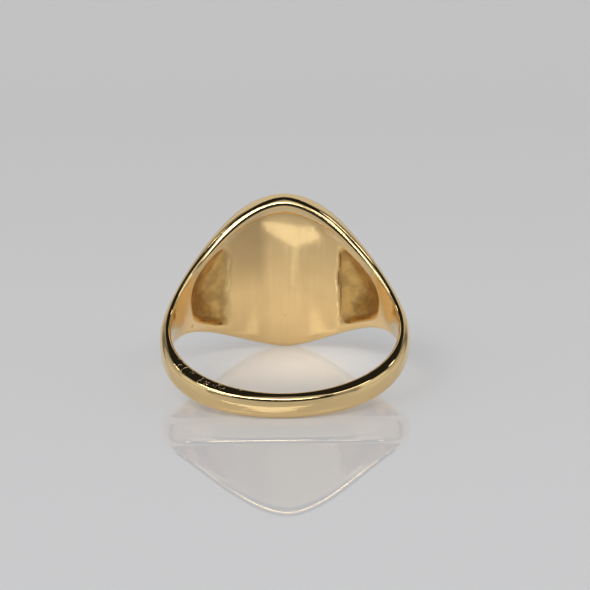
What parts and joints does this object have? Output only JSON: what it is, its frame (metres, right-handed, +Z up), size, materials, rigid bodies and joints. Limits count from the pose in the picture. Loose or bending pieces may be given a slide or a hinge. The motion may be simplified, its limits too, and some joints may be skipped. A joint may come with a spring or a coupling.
{
  "type": "signet ring",
  "caption": "Plain signet ring with a flat oval table, a wide head whose shoulders are hollowed behind, and a slim half-round shank.",
  "frame": {"origin": "middle of the ring's box on the surface that it lies on", "axes": "the ring lies on its side as jewellers picture it: +Z up, +Y towards the table's side, +X to the right seen from the shank; the finger axis leans 17.4 degrees from +Z towards -Y, and the table faces +Y and 17.4 degrees up"},
  "size_m": [0.0208, 0.0232, 0.0144],
  "materials": {
    "polished_gold": "polished yellow gold with fine wear scratches",
    "satin_gold": "satin yellow gold, emery-finished inside, polished on its edge",
    "shoulder_gold": "yellow gold, polished outside, left with a cast skin in the hollow",
    "hard_solder": "hard gold solder, filed flush"
  },
  "bodies": {
    "root": {"table_plate": "polished_gold", "head_block": "satin_gold", "shoulder_left": "shoulder_gold", "shoulder_right": "shoulder_gold", "shank": "polished_gold", "table_solder": "hard_solder", "head_solder_left": "hard_solder", "head_solder_right": "hard_solder", "shank_solder_left": "hard_solder", "shank_solder_right": "hard_solder"}
  },
  "joints": []
}
